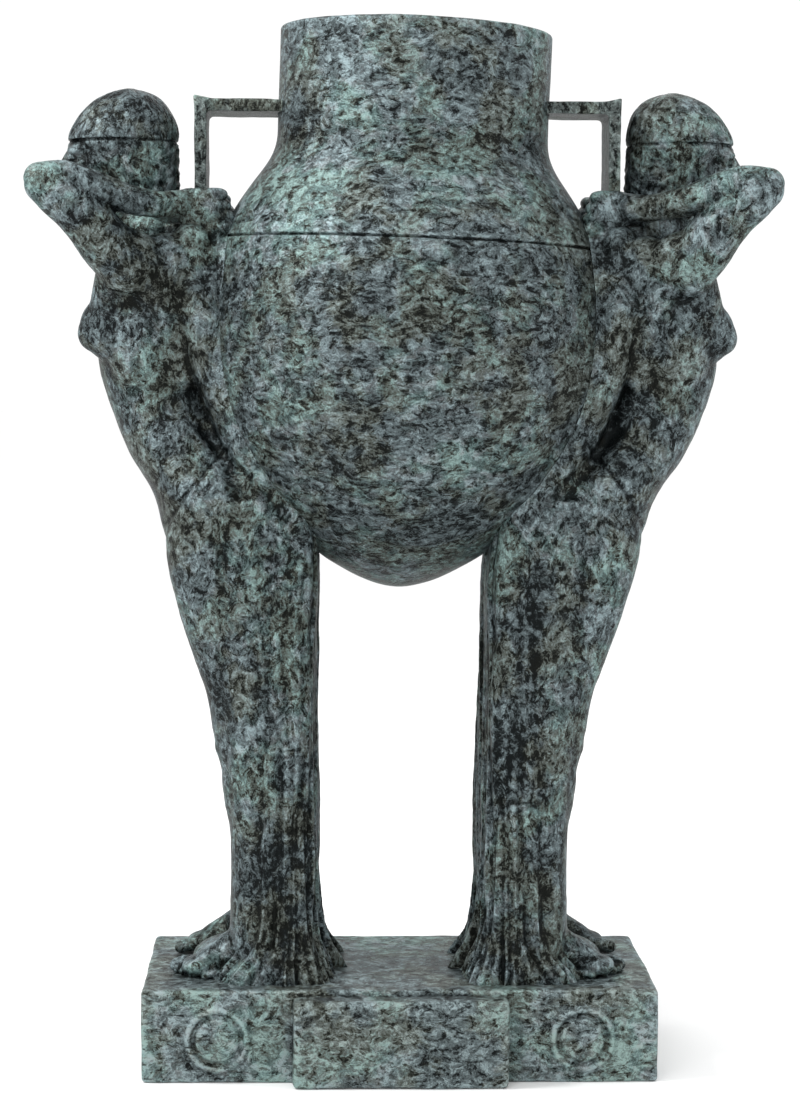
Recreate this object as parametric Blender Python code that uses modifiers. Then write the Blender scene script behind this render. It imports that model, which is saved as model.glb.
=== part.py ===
# Bronze garden urn carried on the backs of two female figures, on one plinth.
# Metres, +Z up. The origin is on the ground, under the middle of the plinth.
# The figures look outwards along X, and the viewer stands at -Y.

import math

import bmesh
import bpy
from mathutils import Matrix, Vector

# Driving sizes
figure_height = 0.877           # from the plinth's top to the crown of the head
plinth_height = 0.091
toe_margin = 0.021              # plinth beyond the toes, at each end
hem_margin = 0.018              # plinth beyond the drapery, front and back
block_half_width = 0.104        # the middle block of the plinth
block_projection = 0.025
block_drop = 0.005              # the block's top lies this much under the plinth's
plinth_edge = 0.005
roundel_radius = 0.031
roundel_relief = 0.0045
roundel_steps = 16
urn_height = 0.551              # from the tip under the body to the rim
belly_radius = 0.200
neck_radius = 0.134
neck_length = 0.103
wall = 0.007
rim_round = 0.005
groove_width = 0.005
groove_depth = 0.0025
lean = math.radians(1.8)        # the urn leans a little to the viewer's right, as it was assembled
strap_thickness = 0.012
strap_depth = 0.072
strap_below_rim = 0.070
strap_flare = 0.004             # the pointed outer corner of the strap
strap_round = 0.0015
clearance = 0.0003              # kept between neighbouring pieces
bow = 0.0085                    # how far both bodies bow to the viewer's right at the waist
carve_step = 0.003              # grain of a figure's surface before it is thinned out
figure_triangles = 2900         # what a figure is thinned to
fold_count = 19                 # folds round the drapery
urn_steps = 36                  # facets round the urn
urn_points = (8, 6, 3)          # and up its body, its shoulder and the turn into the neck

# Places that follow from them
unit = figure_height / 870.0    # the figure's stations are in 870ths of its height
figure_back = belly_radius - 116.0 * unit
toe_reach = 146.0
hem_half_depth = 102.0
plinth_half_width = figure_back + toe_reach * unit + toe_margin
plinth_half_depth = hem_half_depth * unit + hem_margin
urn_tip = plinth_height + 379.0 * unit
rim_height = urn_tip + urn_height
strap_top = rim_height - strap_below_rim
hand = (108.0, 44.0, 750.0)     # where each hand grips: outwards, sideways and up
strap_out = figure_back + 119.0 * unit
strap_foot = plinth_height + (hand[2] - 12.0) * unit
lean_pivot = Vector((0.0, 0.0, urn_tip + 0.18 * urn_height))
strap_shift = 0.45 * math.tan(lean) * (strap_top - lean_pivot.z)


def start_afresh():
    for old in list(bpy.data.objects):
        bpy.data.objects.remove(old, do_unlink=True)


def new_collection(name):
    group = bpy.data.collections.new(name)
    bpy.context.scene.collection.children.link(group)
    return group


def bronze(name, colour, roughness):
    material = bpy.data.materials.new(name)
    material.use_nodes = True
    shader = material.node_tree.nodes["Principled BSDF"]
    shader.inputs["Base Color"].default_value = (*colour, 1.0)
    shader.inputs["Roughness"].default_value = roughness
    shader.inputs["Metallic"].default_value = 0.35
    return material


def place(mesh_or_bm, name, group, material=None):
    if isinstance(mesh_or_bm, bmesh.types.BMesh):
        mesh = bpy.data.meshes.new(name)
        mesh_or_bm.to_mesh(mesh)
        mesh_or_bm.free()
    else:
        mesh = mesh_or_bm
    piece = bpy.data.objects.new(name, mesh)
    group.objects.link(piece)
    if material:
        mesh.materials.clear()
        mesh.materials.append(material)
    return piece


def baked(piece, name):
    """The piece's evaluated mesh as a mesh of its own. The piece is removed."""
    bpy.context.view_layer.update()
    evaluated = piece.evaluated_get(bpy.context.evaluated_depsgraph_get())
    mesh = bpy.data.meshes.new_from_object(evaluated)
    mesh.name = name
    bpy.data.objects.remove(piece, do_unlink=True)
    return mesh


def hide_cutter(piece):
    piece.hide_render = True
    piece.display_type = "WIRE"
    return piece


def boolean(piece, other, operation):
    step = piece.modifiers.new(other.name, "BOOLEAN")
    step.operation = operation
    step.object = other
    step.solver = "EXACT"
    return step


# The urn

def bezier(p0, p1, p2, p3, count):
    """Points along one cubic curve, without its last point."""
    points = []
    for i in range(count):
        t = i / count
        s = 1.0 - t
        points.append(tuple(s ** 3 * a + 3 * s * s * t * b + 3 * s * t * t * c + t ** 3 * d
                            for a, b, c, d in zip(p0, p1, p2, p3)))
    return points


def urn_outline(inset, counts):
    """Half outline of the urn's body and neck, from the tip up to the rim, inset by a wall."""
    belly = belly_radius - inset
    neck = neck_radius - inset
    body = urn_height - neck_length
    bottom = inset
    belly_up = 0.536 * body
    root = 0.905 * body
    shoulder = neck + 0.25 * (belly - neck)
    lower = bezier((0.0, bottom), (0.275 * belly, bottom),
                   (belly, 0.23 * body), (belly, belly_up), counts[0])
    upper = bezier((belly, belly_up), (belly, 0.73 * body),
                   (shoulder + 0.067 * body, 0.82 * body), (shoulder, root), counts[1])
    turn = bezier((shoulder, root), (shoulder - 0.018 * body, 0.931 * body),
                  (neck, 0.955 * body), (neck, body), counts[2])
    return lower + upper + turn + [(neck, body)]


def groove_points(outline):
    """The outline with one thin turned groove cut where the shoulder begins."""
    height = 0.763 * (urn_height - neck_length)
    cut = []
    for below, above in zip(outline, outline[1:]):
        cut.append(below)
        if below[1] < height <= above[1]:
            share = (height - below[1]) / (above[1] - below[1])
            radius = below[0] + share * (above[0] - below[0])
            slope = (above[0] - below[0]) / (above[1] - below[1])
            half = groove_width / 2
            cut += [(radius - slope * half, height - half),
                    (radius - groove_depth, height),
                    (radius + slope * half, height + half)]
    return cut + [outline[-1]]


def turned(points, name, steps):
    """A mesh turned round Z from half outline points, given down the outer side."""
    bm = bmesh.new()
    corners = [bm.verts.new((x, 0.0, z)) for x, z in points]
    for a, b in zip(corners, corners[1:]):
        bm.edges.new((a, b))
    blank = place(bm, name, bpy.context.scene.collection)
    screw = blank.modifiers.new("turn", "SCREW")
    screw.steps = screw.render_steps = steps
    screw.use_merge_vertices = True
    screw.merge_threshold = 0.00005
    screw.use_normal_calculate = False
    return baked(blank, name)


def leaning(mesh):
    """Tips a mesh that is modelled with the urn's tip at z = 0 and sets it at its height."""
    turn = Matrix.Translation(lean_pivot) @ Matrix.Rotation(lean, 4, "Y") @ Matrix.Translation(-lean_pivot)
    mesh.transform(turn @ Matrix.Translation((0.0, 0.0, urn_tip)))
    return mesh


def make_urn(group, material):
    outer = groove_points(urn_outline(0.0, urn_points))
    inner = urn_outline(wall, (6, 3, 2))
    top = urn_height
    rim = [(neck_radius - wall, top - rim_round), (neck_radius - wall + rim_round / 2, top),
           (neck_radius - rim_round / 2, top), (neck_radius, top - rim_round)]
    path = inner + rim + outer[::-1]
    mesh = leaning(turned(path, "urn", urn_steps))
    mesh.shade_smooth()
    mesh.set_sharp_from_angle(angle=math.radians(35))
    return place(mesh, "urn", group, material)


def urn_cutter(group):
    """The urn as a full solid, grown by the clearance, which its neighbours are cut back from."""
    outline = urn_outline(-clearance, urn_points)
    lid = (0.0, urn_height + clearance)
    path = [lid, (outline[-1][0], lid[1])] + outline[::-1]
    return hide_cutter(place(leaning(turned(path, "urn_cutter", urn_steps)), "urn_cutter", group))


# The strap handles

def strap_mesh(name, side, grow):
    """One flat strap bent at a right angle: from the neck out, then down into the hands."""
    half = strap_depth / 2 + grow
    out = strap_out + strap_thickness / 2 + grow
    inner = strap_out - strap_thickness / 2 - grow
    low = strap_top - strap_thickness - grow
    high = strap_top + grow
    start = neck_radius * 0.80
    foot = strap_foot - grow
    corners = [(start, low), (inner, low), (inner, foot), (out, foot),
               (out, high + strap_flare), (inner - strap_flare, high), (start, high)]
    flat = bpy.data.curves.new(name, "CURVE")
    flat.dimensions = "2D"
    flat.fill_mode = "BOTH"
    flat.extrude = half
    line = flat.splines.new("POLY")
    line.points.add(len(corners) - 1)
    for point, (x, z) in zip(line.points, corners):
        point.co = (side * x + strap_shift, z, 0.0, 1.0)
    line.use_cyclic_u = True
    blank = bpy.data.objects.new(name, flat)
    bpy.context.scene.collection.objects.link(blank)
    mesh = baked(blank, name)
    bpy.data.curves.remove(flat)
    mesh.transform(Matrix.Rotation(math.pi / 2, 4, "X"))
    bm = bmesh.new()
    bm.from_mesh(mesh)
    bmesh.ops.remove_doubles(bm, verts=bm.verts, dist=0.00002)
    bmesh.ops.recalc_face_normals(bm, faces=bm.faces)
    bm.to_mesh(mesh)
    bm.free()
    return mesh


def make_handle(name, side, group, material, cutter):
    handle = place(strap_mesh(name, side, 0.0), name, group, material)
    rounding = handle.modifiers.new("edges", "BEVEL")
    rounding.width = strap_round
    rounding.segments = 2
    rounding.limit_method = "ANGLE"
    boolean(handle, cutter, "DIFFERENCE")
    return handle


# The plinth

def box(bm, low, high):
    made = bmesh.ops.create_cube(bm, size=1.0)
    size = Vector(high) - Vector(low)
    centre = (Vector(high) + Vector(low)) / 2
    bmesh.ops.scale(bm, vec=size, verts=made["verts"])
    bmesh.ops.translate(bm, vec=centre, verts=made["verts"])


def make_plinth(group, cutters, material):
    bm = bmesh.new()
    width, depth = plinth_half_width, plinth_half_depth
    box(bm, (-width, -depth, 0.0), (width, depth, plinth_height))
    plinth = place(bm, "plinth", group, material)
    block = bmesh.new()
    reach = depth + block_projection
    box(block, (-block_half_width, -reach, 0.0), (block_half_width, reach, plinth_height - block_drop))
    middle = place(block, "plinth_block", cutters)
    taper = middle.modifiers.new("corners", "BEVEL")
    taper.width = plinth_edge
    taper.segments = 2
    hide_cutter(middle)
    # the block's underside stays on the ground, so only the edges above it are eased
    for corner in middle.data.vertices:
        if corner.co.z < plinth_height / 2:
            corner.co.z = -2 * plinth_edge
    edge = plinth.modifiers.new("edges", "BEVEL")
    edge.width = plinth_edge
    edge.segments = 2
    boolean(plinth, middle, "UNION")
    for side in (-1, 1):
        for face in (-1, 1):
            seal = make_roundel(side, face, cutters)
            boolean(plinth, seal, "UNION")
    boolean(plinth, ground_cutter(cutters), "DIFFERENCE")
    return plinth


def make_roundel(side, face, cutters):
    """A boss inside a raised ring, on one wing of the plinth."""
    r = roundel_radius
    h = roundel_relief
    sunk = -2 * h
    points = [(0.0, 0.9 * h), (0.42 * r, 0.7 * h), (0.62 * r, 0.1 * h), (0.74 * r, 0.1 * h), (0.84 * r, h),
              (r, 0.1 * h), (r, sunk), (0.0, sunk)]
    name = f"roundel_{'left' if side < 0 else 'right'}_{'front' if face < 0 else 'back'}"
    mesh = turned(points, name, roundel_steps)
    wing = (plinth_half_width + block_half_width) / 2
    tip = Matrix.Rotation(-face * math.pi / 2, 4, "X")
    mesh.transform(Matrix.Translation((side * wing, face * plinth_half_depth, plinth_height * 0.47)) @ tip)
    return hide_cutter(place(mesh, name, cutters))


def ground_cutter(cutters):
    bm = bmesh.new()
    box(bm, (-1.0, -1.0, -0.2), (1.0, 1.0, 0.0))
    return hide_cutter(place(bm, "below_ground", cutters))


# The figures

def at(out, side, up):
    """A station of the right-hand figure, in 870ths of its height: outwards from its back, sideways, up."""
    return Vector((figure_back + out * unit, side * unit, plinth_height + up * unit))


def ball(bm, centre, radii, pitch=0.0, segments=20):
    """An ellipsoid of clay. The pitch in degrees tips its outer side down."""
    turn = Matrix.Translation(at(*centre)) @ Matrix.Rotation(math.radians(pitch), 4, "Y")
    size = Matrix.Diagonal((*[r * unit for r in radii], 1.0))
    rings = segments // 2 + 2
    bmesh.ops.create_uvsphere(bm, u_segments=segments, v_segments=rings, radius=1.0, matrix=turn @ size)


def limb(bm, stations, resolution=5):
    """A round limb through stations of (out, side, up, radius), with a ball at each end."""
    path = bpy.data.curves.new("limb", "CURVE")
    path.dimensions = "3D"
    path.bevel_depth = unit
    path.bevel_resolution = resolution
    path.use_fill_caps = True
    line = path.splines.new("POLY")
    line.points.add(len(stations) - 1)
    for point, (out, side, up, radius) in zip(line.points, stations):
        point.co = (*at(out, side, up), 1.0)
        point.radius = radius
    blank = bpy.data.objects.new("limb", path)
    bpy.context.scene.collection.objects.link(blank)
    mesh = baked(blank, "limb")
    bpy.data.curves.remove(path)
    bm.from_mesh(mesh)
    bpy.data.meshes.remove(mesh)
    for out, side, up, radius in (stations[0], stations[-1]):
        ball(bm, (out, side, up), (radius,) * 3, segments=14)


def oval(out, half_out, half_side, up, count=28, square=2.3):
    """A level section of the trunk, squarer than an ellipse."""
    ring = []
    for i in range(count):
        a = 2 * math.pi * i / count
        c, s = math.cos(a), math.sin(a)
        ring.append(at(out + half_out * math.copysign(abs(c) ** (2 / square), c),
                       half_side * math.copysign(abs(s) ** (2 / square), s), up))
    return ring


def loft(bm, rings):
    """A closed skin over sections given from the bottom up."""
    loops = [[bm.verts.new(p) for p in ring] for ring in rings]
    for low, high in zip(loops, loops[1:]):
        for i in range(len(low)):
            j = (i + 1) % len(low)
            bm.faces.new((low[i], low[j], high[j], high[i]))
    bm.faces.new(loops[0][::-1])
    bm.faces.new(loops[-1])


# up: middle, half depth and half width of the trunk
trunk = [(415, 99, 51, 80), (469, 105, 60, 87), (514, 135, 58, 75), (554, 155, 55, 63),
         (594, 168, 54, 61), (632, 176, 46, 66), (668, 179, 41, 74), (696, 181, 35, 78), (723, 180, 25, 44)]


def make_trunk(bm):
    loft(bm, [oval(out, deep, wide, up) for up, out, deep, wide in trunk])
    for side in (-1, 1):
        ball(bm, (202, side * 35, 632), (35, 29, 34), pitch=-4)       # breast
        ball(bm, (218, side * 36, 633), (21, 18, 21))
        ball(bm, (235, side * 37, 628), (7, 7, 7))
        ball(bm, (84, side * 44, 430), (62, 42, 88))                  # hip and seat
        ball(bm, (150, side * 62, 692), (34, 24, 34))                 # shoulder blade
    limb(bm, [(178, 0, 706, 28), (186, 0, 740, 25), (192, 0, 776, 27)])


def make_leg(bm, side):
    limb(bm, [(108, side * 44, 434, 42), (98, side * 44, 377, 40), (84, side * 44, 325, 38),
              (74, side * 43, 279, 32), (72, side * 43, 249, 31), (68, side * 43, 219, 28)])
    limb(bm, [(66, side * 43, 229, 28), (61, side * 44, 189, 29), (58, side * 45, 154, 27),
              (59, side * 46, 108, 21), (62, side * 47, 72, 17), (61, side * 48, 40, 18)])
    ball(bm, (81, side * 43, 248), (21, 20, 24))                      # knee cap
    ball(bm, (50, side * 45, 176), (27, 25, 46))                      # calf


def make_foot(bm, side):
    heel, sole = side * 48, side * 50
    limb(bm, [(44, heel, 16, 15), (64, heel, 24, 19), (88, sole, 18, 18), (112, side * 53, 12, 14)])
    ball(bm, (80, sole, 26), (26, 17, 20), pitch=28)                  # instep
    ball(bm, (112, side * 54, 10), (20, 23, 12))
    for i in range(5):                                                # toes, the great toe inwards
        spread = side * (39 + 8.2 * i)
        reach = 128 - 2.6 * i * i * 0.7 + i
        size = 9.0 if i == 0 else 6.2 - 0.3 * i
        ball(bm, (reach, spread, size * 0.9), (15 - i, size * 0.78, size))


def make_arm(bm, side):
    limb(bm, [(183, side * 72, 690, 29), (202, side * 84, 712, 27), (226, side * 95, 742, 24),
              (252, side * 103, 765, 20), (263, side * 105, 774, 18)])
    limb(bm, [(263, side * 105, 774, 18), (244, side * 101, 775, 18), (216, side * 92, 767, 17),
              (180, side * 76, 755, 15), (150, side * 61, 749, 12), (134, side * 54, 749, 12)])
    out, across, up = hand
    ball(bm, (out + 14, side * (across + 8), up), (21, 11, 19))       # back of the hand
    limb(bm, [(142, side * 48, 756, 7), (134, side * 34, 764, 6), (131, side * 22, 768, 5)])
    for i in range(4):                                                # fingers, the first one on top
        level = up + 14 - 9.4 * i
        knuckle = out - 4 - 3 * i
        limb(bm, [(out + 12, side * (across + 10), level, 6), (knuckle, side * (across + 3), level, 6.2),
                  (knuckle - 1, side * (across - 11), level - 1, 5.6),
                  (knuckle + 5, side * (across - 22), level - 2, 5)])


def make_head(bm):
    ball(bm, (195, 0, 812), (53, 41, 55))                             # skull
    ball(bm, (215, 0, 790), (33, 31, 44), pitch=6)                    # face
    ball(bm, (222, 0, 768), (20, 20, 21))                             # jaw
    ball(bm, (241, 0, 757), (9, 10, 9))                               # chin
    ball(bm, (246, 0, 792), (11, 5.5, 14), pitch=-20)                 # nose
    ball(bm, (254, 0, 783), (5.5, 6.5, 5))
    ball(bm, (244, 0, 770), (7, 11, 5.5))                             # mouth
    for side in (-1, 1):
        ball(bm, (236, side * 17, 806), (11, 14, 5))                  # brow
        ball(bm, (232, side * 20, 784), (14, 12, 13))                 # cheek
        ball(bm, (238, side * 15, 797), (7, 8, 5.5))                  # eyelid


def make_hair(bm):
    cap = bmesh.new()
    bmesh.ops.create_uvsphere(cap, u_segments=28, v_segments=16, radius=1.0)
    bmesh.ops.bisect_plane(cap, geom=cap.verts[:] + cap.edges[:] + cap.faces[:], plane_co=(0, 0, 0.06),
                           plane_no=(0, 0, 1), clear_inner=True)
    bmesh.ops.holes_fill(cap, edges=[e for e in cap.edges if e.is_boundary])
    turn = Matrix.Translation(at(194, 0, 813)) @ Matrix.Diagonal((57 * unit, 49 * unit, 57 * unit, 1.0))
    bmesh.ops.transform(cap, matrix=turn, verts=cap.verts)
    crown = bpy.data.meshes.new("crown")
    cap.to_mesh(crown)
    cap.free()
    bm.from_mesh(crown)
    bpy.data.meshes.remove(crown)
    ball(bm, (185, 0, 806), (42, 46, 36))                             # hair over the ears
    for row, (up, size) in enumerate(((803, 9.5), (788, 10.5))):      # rolled curls round the nape
        count = 9
        for i in range(count):
            a = math.radians(180 + (i - (count - 1) / 2) * 21)
            ball(bm, (187 + (43 - 3 * row) * math.cos(a), (42 - 3 * row) * math.sin(a), up), (size,) * 3,
                 segments=10)


# up: inner face, outer face and half width of the drapery, and how deep its folds run
cloth = [(-6, -35, 104, 100, 7.0), (10, -22, 92, 98, 6.5), (24, -9, 72, 94, 5.5), (42, 0, 60, 91, 5.0),
         (90, 3, 54, 90, 4.5), (225, 2, 50, 90, 4.0), (334, 2, 58, 89, 3.6), (409, 2, 60, 87, 3.2),
         (454, 8, 66, 84, 2.6), (504, 24, 92, 82, 2.6), (555, 44, 112, 80, 2.8), (635, 66, 136, 82, 3.0),
         (700, 74, 149, 82, 2.8), (738, 70, 156, 74, 2.2)]


def cloth_ring(inner, outer, wide, depth, up):
    """A level section of the drapery: a rounded slab whose edge runs in and out in folds."""
    ring = []
    count = 6 * fold_count
    middle, half = (inner + outer) / 2, (outer - inner) / 2
    for i in range(count):
        a = 2 * math.pi * (i + 0.5) / count
        c, s = math.cos(a), math.sin(a)
        x = math.copysign(abs(c) ** 0.55, c)
        y = math.copysign(abs(s) ** 0.35, s)
        fold = depth * math.cos(fold_count * a + 0.0012 * up + 0.9 * math.sin(2 * a))
        ring.append(at(middle + (half + fold) * x, (wide + fold) * y, up))
    return ring


def make_drapery(bm):
    cover = bmesh.new()
    loft(cover, [cloth_ring(inner, outer, wide, depth, up) for up, inner, outer, wide, depth in cloth])
    bmesh.ops.recalc_face_normals(cover, faces=cover.faces)
    skin = bpy.data.meshes.new("drapery")
    cover.to_mesh(skin)
    cover.free()
    bm.from_mesh(skin)
    bpy.data.meshes.remove(skin)


def carve_figure(group):
    """One figure and its drapery: clay shapes fused into one skin, eased, then thinned to few triangles."""
    bm = bmesh.new()
    make_trunk(bm)
    for side in (-1, 1):
        make_leg(bm, side)
        make_foot(bm, side)
        make_arm(bm, side)
    make_head(bm)
    make_hair(bm)
    make_drapery(bm)
    clay = place(bm, "clay", group)
    fuse = clay.modifiers.new("fuse", "REMESH")
    fuse.mode = "VOXEL"
    fuse.voxel_size = carve_step
    ease = clay.modifiers.new("ease", "SMOOTH")
    ease.factor = 0.5
    ease.iterations = 2
    fused = baked(clay, "fused")
    thin = place(fused, "thin", group)
    fewer = thin.modifiers.new("fewer", "DECIMATE")
    fewer.ratio = figure_triangles / (2 * len(fused.polygons))
    return baked(thin, "figure")


def settled(mesh):
    """Bows both bodies at the waist to the viewer's right; what is near the urn follows its lean."""
    waist = plinth_height + 565 * unit
    for corner in mesh.vertices:
        x, up = abs(corner.co.x), corner.co.z
        near = min(max((figure_back + 145 * unit - x) / (40 * unit), 0.0), 1.0)
        follow = math.tan(lean) * max(up - waist, 0.0) * near
        corner.co.x += max(bow * math.exp(-((up - waist) / (140 * unit)) ** 2), follow)
    return mesh


def mirrored(mesh, name):
    bm = bmesh.new()
    bm.from_mesh(mesh)
    bmesh.ops.scale(bm, vec=(-1, 1, 1), verts=bm.verts)
    bmesh.ops.reverse_faces(bm, faces=bm.faces)
    copy = bpy.data.meshes.new(name)
    bm.to_mesh(copy)
    bm.free()
    return copy


def make_figures(group, cutters, material, urn_form):
    whole = carve_figure(cutters)
    bm = bmesh.new()
    box(bm, (-1.0, -1.0, -0.2), (1.0, 1.0, plinth_height + clearance))
    floor = hide_cutter(place(bm, "below_feet", cutters))
    for name, side in (("left_figure", -1), ("right_figure", 1)):
        mesh = mirrored(whole, name) if side < 0 else whole.copy()
        figure = place(settled(mesh), name, group, material)
        grip = hide_cutter(place(strap_mesh(f"{name}_grip", side, clearance), f"{name}_grip", cutters))
        boolean(figure, floor, "DIFFERENCE")
        boolean(figure, grip, "DIFFERENCE")
        boolean(figure, urn_form, "DIFFERENCE")


def main():
    start_afresh()
    group = new_collection("figured_urn")
    cutters = new_collection("cutters")
    patina = bronze("patinated_bronze", (0.20, 0.27, 0.26), 0.55)
    dark = bronze("dark_bronze", (0.14, 0.18, 0.17), 0.5)
    urn_form = urn_cutter(cutters)
    make_plinth(group, cutters, patina)
    make_urn(group, patina)
    for name, side in (("left_handle", -1), ("right_handle", 1)):
        make_handle(name, side, group, dark, urn_form)
    make_figures(group, cutters, patina, urn_form)


main()
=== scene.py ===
# The finished look of the figured garden urn: modelled figures and drapery, a turned urn,
# strap handles and a cast plinth, all in mottled green bronze.
import math

import bmesh
import bpy
import numpy as np
from mathutils import Matrix, Vector, noise


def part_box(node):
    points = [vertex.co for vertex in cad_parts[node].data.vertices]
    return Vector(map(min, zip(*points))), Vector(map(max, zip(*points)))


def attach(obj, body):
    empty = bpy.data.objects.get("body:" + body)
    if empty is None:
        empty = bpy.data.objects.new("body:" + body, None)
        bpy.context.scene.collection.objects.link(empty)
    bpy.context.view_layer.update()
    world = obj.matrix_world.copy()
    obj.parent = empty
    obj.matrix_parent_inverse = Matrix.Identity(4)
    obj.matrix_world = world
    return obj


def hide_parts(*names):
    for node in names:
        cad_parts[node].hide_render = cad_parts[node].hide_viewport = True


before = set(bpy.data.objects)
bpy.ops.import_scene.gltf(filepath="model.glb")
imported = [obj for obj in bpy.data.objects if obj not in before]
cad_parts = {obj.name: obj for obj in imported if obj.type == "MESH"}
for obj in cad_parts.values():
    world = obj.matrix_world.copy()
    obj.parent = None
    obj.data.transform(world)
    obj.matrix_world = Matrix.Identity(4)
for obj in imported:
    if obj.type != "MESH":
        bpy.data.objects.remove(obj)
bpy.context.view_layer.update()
print("frame loaded")

sharpFrom = math.radians(55)


# Meshes in general

def pieceFrom(source, name):
    mesh = source
    if isinstance(source, bmesh.types.BMesh):
        mesh = bpy.data.meshes.new(name)
        source.to_mesh(mesh)
        source.free()
    piece = bpy.data.objects.new(name, mesh)
    bpy.context.scene.collection.objects.link(piece)
    return piece


def finishedMesh(piece):
    # the mesh with its modifiers applied; the piece itself goes
    graph = bpy.context.evaluated_depsgraph_get()
    mesh = bpy.data.meshes.new_from_object(piece.evaluated_get(graph))
    bpy.data.objects.remove(piece, do_unlink=True)
    return mesh


def fuse(clay, grain, passes):
    # overlapping lumps of clay become one skin, eased by a few passes of smoothing
    bm = bmesh.new()
    for mesh in clay:
        bm.from_mesh(mesh)
        bpy.data.meshes.remove(mesh)
    piece = pieceFrom(bm, "clay")
    skin = piece.modifiers.new("fuse", "REMESH")
    skin.mode = "VOXEL"
    skin.voxel_size = grain
    ease = piece.modifiers.new("ease", "SMOOTH")
    ease.factor = 0.5
    ease.iterations = passes
    return finishedMesh(piece)


def thinned(mesh, triangles):
    # the mesh of quads brought down to about this many triangles
    piece = pieceFrom(mesh, "thinned")
    fewer = piece.modifiers.new("fewer", "DECIMATE")
    fewer.ratio = min(1.0, triangles / (2 * len(mesh.polygons)))
    return finishedMesh(piece)


def cut(mesh, *cutters):
    piece = pieceFrom(mesh, "blank")
    for cutter in cutters:
        step = piece.modifiers.new("cut", "BOOLEAN")
        step.operation = "DIFFERENCE"
        step.object = cutter
        step.solver = "MANIFOLD"
    return finishedMesh(piece)


def readPoints(mesh):
    values = np.empty(len(mesh.vertices) * 3, np.float32)
    mesh.vertices.foreach_get("co", values)
    return values.reshape(-1, 3).astype(float)


def readNormals(mesh):
    values = np.empty(len(mesh.vertices) * 3, np.float32)
    mesh.vertex_normals.foreach_get("vector", values)
    return values.reshape(-1, 3).astype(float)


def writePoints(mesh, points):
    mesh.vertices.foreach_set("co", np.ascontiguousarray(points, np.float32).ravel())
    mesh.update()


def grainOf(points, size, seed=0.0):
    # soft noise from -1 to 1 at the points, with features of about the given size
    places = (points / np.array(size) + seed).tolist()
    return np.array([noise.noise(place) for place in places])


def undulate(mesh, waves):
    # the slight unevenness of a cast surface, in waves of (size, depth)
    points = readPoints(mesh)
    lift = sum(depth * grainOf(points, size, 3.7) for size, depth in waves)
    writePoints(mesh, points + readNormals(mesh) * lift[:, None])


def markHollowShade(mesh, passes, reach):
    # an attribute from 0 on raised edges to 1 in hollows, for painted shade that darkens the patina in
    # creases and recesses
    points = readPoints(mesh)
    edges = np.empty(len(mesh.edges) * 2, np.int32)
    mesh.edges.foreach_get("vertices", edges)
    a, b = edges.reshape(-1, 2).T
    count = len(points)
    joined = np.maximum(np.bincount(a, minlength=count) + np.bincount(b, minlength=count), 1)
    smooth = points.copy()
    for _ in range(passes):
        for axis in range(3):
            near = np.bincount(a, smooth[b, axis], count) + np.bincount(b, smooth[a, axis], count)
            smooth[:, axis] = 0.4 * smooth[:, axis] + 0.6 * near / joined
    depth = ((smooth - points) * readNormals(mesh)).sum(1)
    values = np.clip(0.5 + 0.5 * depth / reach, 0, 1).astype(np.float32)
    mesh.attributes.new("hollowShade", "FLOAT", "POINT").data.foreach_set("value", values)


def putInPlace(mesh, name, node, finish):
    # a finished piece rides on the body and stands for its node
    mesh.name = name
    mesh.shade_smooth()
    mesh.set_sharp_from_angle(angle=sharpFrom)
    mesh.materials.clear()
    mesh.materials.append(finish)
    piece = pieceFrom(mesh, name)
    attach(piece, "root")
    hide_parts(node)


def lump(bm):
    # one closed shape of clay with its faces pointing out
    bmesh.ops.recalc_face_normals(bm, faces=bm.faces)
    mesh = bpy.data.meshes.new("lump")
    bm.to_mesh(mesh)
    bm.free()
    return mesh


def boxLump(low, high, eased=0.0):
    bm = bmesh.new()
    size = Vector(high) - Vector(low)
    middle = (Vector(high) + Vector(low)) / 2
    place = Matrix.Translation(middle) @ Matrix.Diagonal((*size, 1.0))
    bmesh.ops.create_cube(bm, size=1.0, matrix=place)
    if eased:
        bmesh.ops.bevel(bm, geom=bm.edges[:], offset=eased, offset_type="OFFSET", segments=3,
                        profile=0.5, affect="EDGES", material=-1)
    return lump(bm)


def turned(bm, outline, steps):
    # a bmesh turned round Z from half an outline of (radius, height)
    corners = [bm.verts.new((radius, 0.0, height)) for radius, height in outline]
    line = [bm.edges.new(pair) for pair in zip(corners, corners[1:])]
    bmesh.ops.spin(bm, geom=corners + line, cent=(0, 0, 0), axis=(0, 0, 1), angle=2 * math.pi,
                   steps=steps, use_merge=True)
    bmesh.ops.remove_doubles(bm, verts=bm.verts, dist=0.00002)
    bmesh.ops.recalc_face_normals(bm, faces=bm.faces)


# Camera and studio

shot = {
    "place": (-0.079, -2.605, 0.7052),
    "aim": (0.0007, 0.0, 0.5093),
    "roll": 0.32,          # degrees
    "lens": 117.2,         # mm
    "sensor": 36.0,        # mm wide
}

studio = {
    "floorRadius": 30.0,
    "paper": (0.96, 0.96, 0.96),
    "lights": [            # name, place, aim, size, watts
        ("keyLight", (-1.6, -0.5, 2.25), (0, 0, 0.7), 0.5, 34.0),
        ("frontLight", (-1.1, -2.6, 2.5), (0, 0, 0.75), 1.6, 18.0),
        ("sideLight", (2.6, -1.2, 1.6), (0, 0, 0.55), 1.8, 8.0),
        ("backLight", (0.4, 2.6, 2.6), (0, 0, 0.55), 1.8, 16.0),
    ],
    "sky": 1.05,
}


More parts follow.
